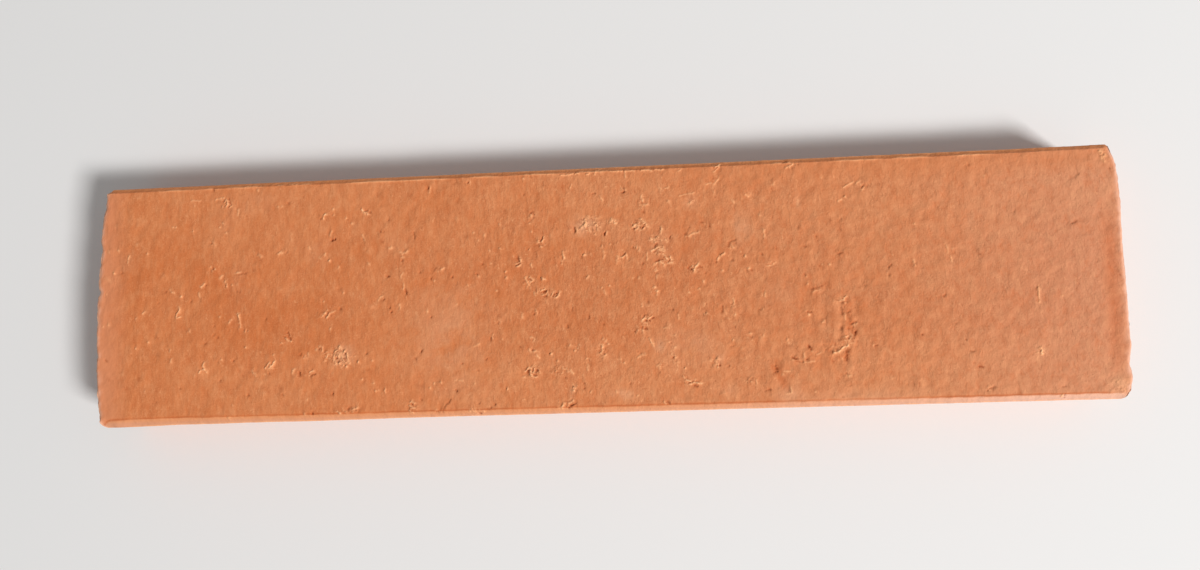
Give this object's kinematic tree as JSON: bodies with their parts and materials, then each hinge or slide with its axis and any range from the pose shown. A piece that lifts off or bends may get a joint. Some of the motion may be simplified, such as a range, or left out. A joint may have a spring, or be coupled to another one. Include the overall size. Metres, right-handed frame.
{
  "type": "clay brick slip",
  "caption": "Thin facing brick of unglazed fired clay with a flat back, bevelled long edges and uneven cut ends.",
  "frame": {"origin": "middle of the flat back, level with the floor that the slip lies on", "axes": "+X along the length, +Y towards the back long edge, +Z out of the face"},
  "size_m": [0.22, 0.053, 0.015],
  "materials": {
    "fired_clay": "matte"
  },
  "bodies": {
    "root": {"brick_slip": "fired_clay"}
  },
  "joints": []
}
